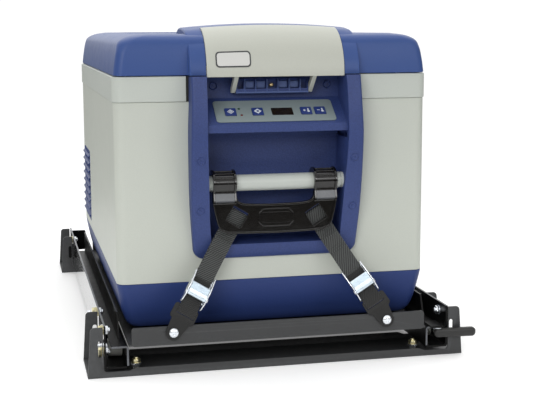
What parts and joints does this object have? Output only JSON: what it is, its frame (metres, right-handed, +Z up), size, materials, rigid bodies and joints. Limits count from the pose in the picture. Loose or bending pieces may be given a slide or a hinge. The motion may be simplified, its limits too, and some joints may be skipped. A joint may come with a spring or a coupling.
{
  "type": "compressor cooler fridge",
  "caption": "Front-control compressor fridge with a rear-hinged lid, strapped by a yoke and cam-buckle webbing to a pull-out steel slide.",
  "frame": {"origin": "centre of the underside of the slide's front cross-member, on the floor it is bolted to", "axes": "+Z up, -Y towards the front of the fridge and the way the tray slides out, +X to the right seen from the front"},
  "size_m": [0.6335, 0.9285, 0.543],
  "materials": {
    "blue_plastic": "textured moulding",
    "shell_grey": "satin warm grey",
    "collar_grey": "satin",
    "panel_grey": "satin light grey",
    "slide_grey": "fine powder coat",
    "slide_black": "gloss black",
    "gloss_black": "gloss black moulding",
    "black_plastic": "matt black",
    "black_rubber": "matt",
    "anchor_black": "matt black",
    "webbing": "woven black twill",
    "zinc": "bright zinc plate",
    "copper": "copper",
    "aluminium": "rolled",
    "liner_white": "smooth white",
    "foam": "rigid polyurethane foam",
    "display": "dark window",
    "circuit_board": "coated board"
  },
  "bodies": {
    "slide_base": {"front_crossmember": "slide_grey", "rear_crossmember": "slide_grey", "outer_rail_left": "slide_black", "outer_rail_right": "slide_black", "roller_axle_front_left": "zinc", "roller_axle_front_right": "zinc", "roller_axle_rear_left": "zinc", "roller_axle_rear_right": "zinc"},
    "roller_front_left": {"roller_front_left": "liner_white"},
    "roller_front_right": {"roller_front_right": "liner_white"},
    "roller_rear_left": {"roller_rear_left": "liner_white"},
    "roller_rear_right": {"roller_rear_right": "liner_white"},
    "tray": {"tray_deck": "slide_grey", "inner_rail_left": "slide_black", "inner_rail_right": "slide_black", "lever_pin": "slide_black", "anchor_left": "anchor_black", "anchor_right": "anchor_black", "anchor_bolt_left": "zinc", "anchor_bolt_right": "zinc", "strap_left": "webbing", "strap_right": "webbing", "buckle_left": "zinc", "buckle_right": "zinc", "yoke": "gloss_black", "base_tub": "blue_plastic", "rubber_foot_front": "black_rubber", "rubber_foot_rear": "black_rubber", "outer_shell": "shell_grey", "collar": "collar_grey", "fascia": "blue_plastic", "vent_panel_left": "blue_plastic", "vent_panel_right": "blue_plastic", "rear_handle_frame": "blue_plastic", "grab_bar_front": "panel_grey", "grab_bar_rear": "panel_grey", "power_inlet": "black_plastic", "liner": "liner_white", "foam_insulation": "foam", "evaporator_plate": "aluminium", "compressor": "slide_black", "condenser_coil": "copper", "controller_board": "circuit_board", "control_panel": "panel_grey", "display_window": "display", "hinge_rod": "zinc"},
    "lock_lever": {"lock_lever": "black_rubber"},
    "lid": {"lid_outer": "blue_plastic", "lid_inner": "liner_white", "lid_foam": "foam", "lid_seal": "black_rubber"},
    "latch": {"latch_flap": "panel_grey", "latch_grip": "blue_plastic"},
    "buckle_lever_left": {"buckle_lever_left": "zinc"},
    "buckle_lever_right": {"buckle_lever_right": "zinc"},
    "button_power": {"button_power": "blue_plastic"},
    "button_mode": {"button_mode": "blue_plastic"},
    "button_warmer": {"button_warmer": "blue_plastic"},
    "button_colder": {"button_colder": "blue_plastic"},
    "fan_rotor": {"fan_rotor": "black_plastic"}
  },
  "joints": [
    {"name": "tray_slide", "type": "slide", "parent": "slide_base", "child": "tray", "axis": [0, -1, 0], "range_m": [0, 0.48]},
    {"name": "roller_front_left_spin", "type": "hinge", "parent": "slide_base", "child": "roller_front_left", "pos_m": [-0.26, 0.01, 0.0313], "axis": [1, 0, 0], "range_deg": [0, 1920]},
    {"name": "roller_front_right_spin", "type": "hinge", "parent": "slide_base", "child": "roller_front_right", "pos_m": [0.26, 0.01, 0.0313], "axis": [1, 0, 0], "range_deg": [0, 1920]},
    {"name": "roller_rear_left_spin", "type": "hinge", "parent": "slide_base", "child": "roller_rear_left", "pos_m": [-0.26, 0.235, 0.0313], "axis": [1, 0, 0], "range_deg": [0, 1920]},
    {"name": "roller_rear_right_spin", "type": "hinge", "parent": "slide_base", "child": "roller_rear_right", "pos_m": [0.26, 0.235, 0.0313], "axis": [1, 0, 0], "range_deg": [0, 1920]},
    {"name": "lock_lever_turn", "type": "hinge", "parent": "tray", "child": "lock_lever", "pos_m": [0.262, -0.0585, 0.0395], "axis": [0, 0, -1], "range_deg": [0, 25], "stiffness_Nm_per_rad": 0.4},
    {"name": "lid_hinge", "type": "hinge", "parent": "tray", "child": "lid", "pos_m": [0, 0.713, 0.4625], "axis": [-1, 0, 0], "range_deg": [0, 90]},
    {"name": "latch_hinge", "type": "hinge", "parent": "lid", "child": "latch", "pos_m": [0, 0.034, 0.5375], "axis": [-1, 0, 0], "range_deg": [0, 35], "stiffness_Nm_per_rad": 0.3},
    {"name": "buckle_lever_left_turn", "type": "hinge", "parent": "tray", "child": "buckle_lever_left", "pos_m": [-0.13832, -0.05434, 0.12412], "axis": [0.8501, 0, -0.5266], "range_deg": [0, 100], "stiffness_Nm_per_rad": 0.05},
    {"name": "buckle_lever_right_turn", "type": "hinge", "parent": "tray", "child": "buckle_lever_right", "pos_m": [0.13832, -0.05434, 0.12412], "axis": [0.8501, 0, 0.5266], "range_deg": [0, 100], "stiffness_Nm_per_rad": 0.05},
    {"name": "button_power_press", "type": "slide", "parent": "tray", "child": "button_power", "axis": [0, 0.5736, -0.8192], "range_m": [0, 0.0008], "stiffness_N_per_m": 600},
    {"name": "button_mode_press", "type": "slide", "parent": "tray", "child": "button_mode", "axis": [0, 0.5736, -0.8192], "range_m": [0, 0.0008], "stiffness_N_per_m": 600},
    {"name": "button_warmer_press", "type": "slide", "parent": "tray", "child": "button_warmer", "axis": [0, 0.5736, -0.8192], "range_m": [0, 0.0008], "stiffness_N_per_m": 600},
    {"name": "button_colder_press", "type": "slide", "parent": "tray", "child": "button_colder", "axis": [0, 0.5736, -0.8192], "range_m": [0, 0.0008], "stiffness_N_per_m": 600},
    {"name": "fan_spin", "type": "hinge", "parent": "tray", "child": "fan_rotor", "pos_m": [0.1, 0.625, 0.18], "axis": [0, 1, 0], "continuous": true}
  ],
  "couplings": [
    {"joint": "roller_front_left_spin", "follows": "tray_slide", "rad_per_m": 69.444},
    {"joint": "roller_front_right_spin", "follows": "tray_slide", "rad_per_m": 69.444},
    {"joint": "roller_rear_left_spin", "follows": "tray_slide", "rad_per_m": 69.444},
    {"joint": "roller_rear_right_spin", "follows": "tray_slide", "rad_per_m": 69.444}
  ]
}
